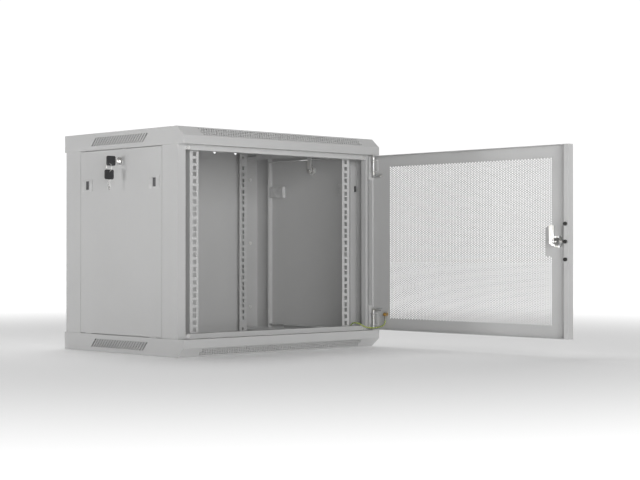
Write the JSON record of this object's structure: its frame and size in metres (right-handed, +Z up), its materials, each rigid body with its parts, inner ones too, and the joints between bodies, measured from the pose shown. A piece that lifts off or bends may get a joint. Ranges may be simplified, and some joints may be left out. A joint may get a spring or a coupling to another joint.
{
  "type": "wall-mount network cabinet",
  "caption": "Wall-mount network rack cabinet with vented covers, removable side panels, square-hole rack rails and a perforated steel door that stands open.",
  "frame": {"origin": "centre of the cabinet's bottom face, without the open door", "axes": "+Z up, +Y towards the wall behind the cabinet, +X to the right seen from the front"},
  "size_m": [0.6432, 1.0295, 0.501],
  "materials": {
    "powder_coat": "fine-textured light grey powder coat",
    "rail_coat": "smooth light grey powder coat",
    "zinc_steel": "bright zinc plate",
    "lock_metal": "nickel-plated die-cast metal",
    "key_plastic": "black moulded grip over a plated blade",
    "black_rubber": "matt black rubber",
    "brass_hardware": "plain brass",
    "tinned_terminal": "tinned copper",
    "wire_insulation": "green and yellow striped insulation",
    "grey_plastic": "light grey moulded plastic"
  },
  "bodies": {
    "cabinet": {"bottom_cover": "powder_coat", "cable_entry_plate_bottom": "powder_coat", "cable_entry_plate_top": "powder_coat", "depth_bracket_bottom_left": "rail_coat", "depth_bracket_bottom_right": "rail_coat", "depth_bracket_top_left": "rail_coat", "depth_bracket_top_right": "rail_coat", "earth_stud_cabinet": "brass_hardware", "earth_terminal_cabinet": "tinned_terminal", "earth_wire": "wire_insulation", "front_crossbar_bottom": "powder_coat", "front_crossbar_top": "powder_coat", "front_post_left": "powder_coat", "front_post_right": "powder_coat", "pan_head_screws": "zinc_steel", "post_nuts": "zinc_steel", "rack_rail_front_left": "rail_coat", "rack_rail_front_right": "rail_coat", "rack_rail_rear_left": "rail_coat", "rack_rail_rear_right": "rail_coat", "rail_bolts": "zinc_steel", "rear_panel": "powder_coat", "rear_panel_screws": "zinc_steel", "rear_post_left": "powder_coat", "rear_post_right": "powder_coat", "side_latch_housings_left": "grey_plastic", "side_latch_housings_right": "grey_plastic", "side_latch_springs": "zinc_steel", "side_lock_barrel_left": "lock_metal", "side_lock_barrel_right": "lock_metal", "side_lock_nuts": "zinc_steel", "side_panel_left": "powder_coat", "side_panel_right": "powder_coat", "top_cover": "powder_coat"},
    "door": {"door_skin": "powder_coat", "door_perforated_sheet": "powder_coat", "hinge_bracket_upper": "powder_coat", "hinge_bracket_lower": "powder_coat", "hinge_spring_upper": "zinc_steel", "hinge_spring_lower": "zinc_steel", "door_lock_barrel": "lock_metal", "door_lock_nut": "zinc_steel", "door_buffers": "black_rubber", "earth_stud_door": "brass_hardware", "earth_terminal_door": "tinned_terminal"},
    "door_lock": {"door_lock_plug": "lock_metal", "door_lock_cam": "zinc_steel"},
    "upper_hinge_pin": {"hinge_pin_upper": "zinc_steel"},
    "lower_hinge_pin": {"hinge_pin_lower": "zinc_steel"},
    "latch_front_right": {"side_latch_slider_front_right": "grey_plastic"},
    "latch_rear_right": {"side_latch_slider_rear_right": "grey_plastic"},
    "latch_front_left": {"side_latch_slider_front_left": "grey_plastic"},
    "latch_rear_left": {"side_latch_slider_rear_left": "grey_plastic"},
    "right_lock": {"side_lock_plug_right": "lock_metal", "side_lock_cam_right": "zinc_steel"},
    "left_lock": {"side_lock_plug_left": "lock_metal", "side_lock_cam_left": "zinc_steel", "side_lock_key": "key_plastic"},
    "spare_key_set": {"key_ring": "zinc_steel", "spare_key": "key_plastic"}
  },
  "joints": [
    {"name": "door_hinge", "type": "hinge", "parent": "cabinet", "child": "door", "pos_m": [0.2905, -0.215, 0.25052], "axis": [0, 0, 1], "range_deg": [-90, 90], "deforming": ["earth_wire"]},
    {"name": "door_lock_turn", "type": "hinge", "parent": "door", "child": "door_lock", "pos_m": [0.299, -0.7655, 0.25052], "axis": [1, 0, 0], "range_deg": [0, 90]},
    {"name": "upper_pin_slide", "type": "slide", "parent": "door", "child": "upper_hinge_pin", "axis": [0, 0, -1], "range_m": [0, 0.009], "stiffness_N_per_m": 600, "springref_m": -0.006, "deforming": ["hinge_spring_upper"]},
    {"name": "lower_pin_slide", "type": "slide", "parent": "door", "child": "lower_hinge_pin", "axis": [0, 0, 1], "range_m": [0, 0.009], "stiffness_N_per_m": 600, "springref_m": -0.006, "deforming": ["hinge_spring_lower"]},
    {"name": "front_right_latch_slide", "type": "slide", "parent": "cabinet", "child": "latch_front_right", "axis": [0, 1, 0], "range_m": [0, 0.009], "stiffness_N_per_m": 150, "springref_m": -0.004, "deforming": ["side_latch_springs"]},
    {"name": "front_left_latch_slide", "type": "slide", "parent": "cabinet", "child": "latch_front_left", "axis": [0, 1, 0], "range_m": [0, 0.009], "stiffness_N_per_m": 150, "springref_m": -0.004, "deforming": ["side_latch_springs"]},
    {"name": "rear_right_latch_slide", "type": "slide", "parent": "cabinet", "child": "latch_rear_right", "axis": [0, -1, 0], "range_m": [0, 0.009], "stiffness_N_per_m": 150, "springref_m": -0.004, "deforming": ["side_latch_springs"]},
    {"name": "rear_left_latch_slide", "type": "slide", "parent": "cabinet", "child": "latch_rear_left", "axis": [0, -1, 0], "range_m": [0, 0.009], "stiffness_N_per_m": 150, "springref_m": -0.004, "deforming": ["side_latch_springs"]},
    {"name": "right_lock_turn", "type": "hinge", "parent": "cabinet", "child": "right_lock", "pos_m": [0.2986, 0.0079, 0.43305], "axis": [1, 0, 0], "range_deg": [-90, 0]},
    {"name": "left_lock_turn", "type": "hinge", "parent": "cabinet", "child": "left_lock", "pos_m": [-0.2986, 0.0079, 0.43305], "axis": [1, 0, 0], "range_deg": [-90, 0]},
    {"name": "spare_key_swing", "type": "hinge", "parent": "left_lock", "child": "spare_key_set", "pos_m": [-0.3286, 0.0079, 0.42705], "axis": [1, 0, 0], "range_deg": [-40, 40]}
  ]
}
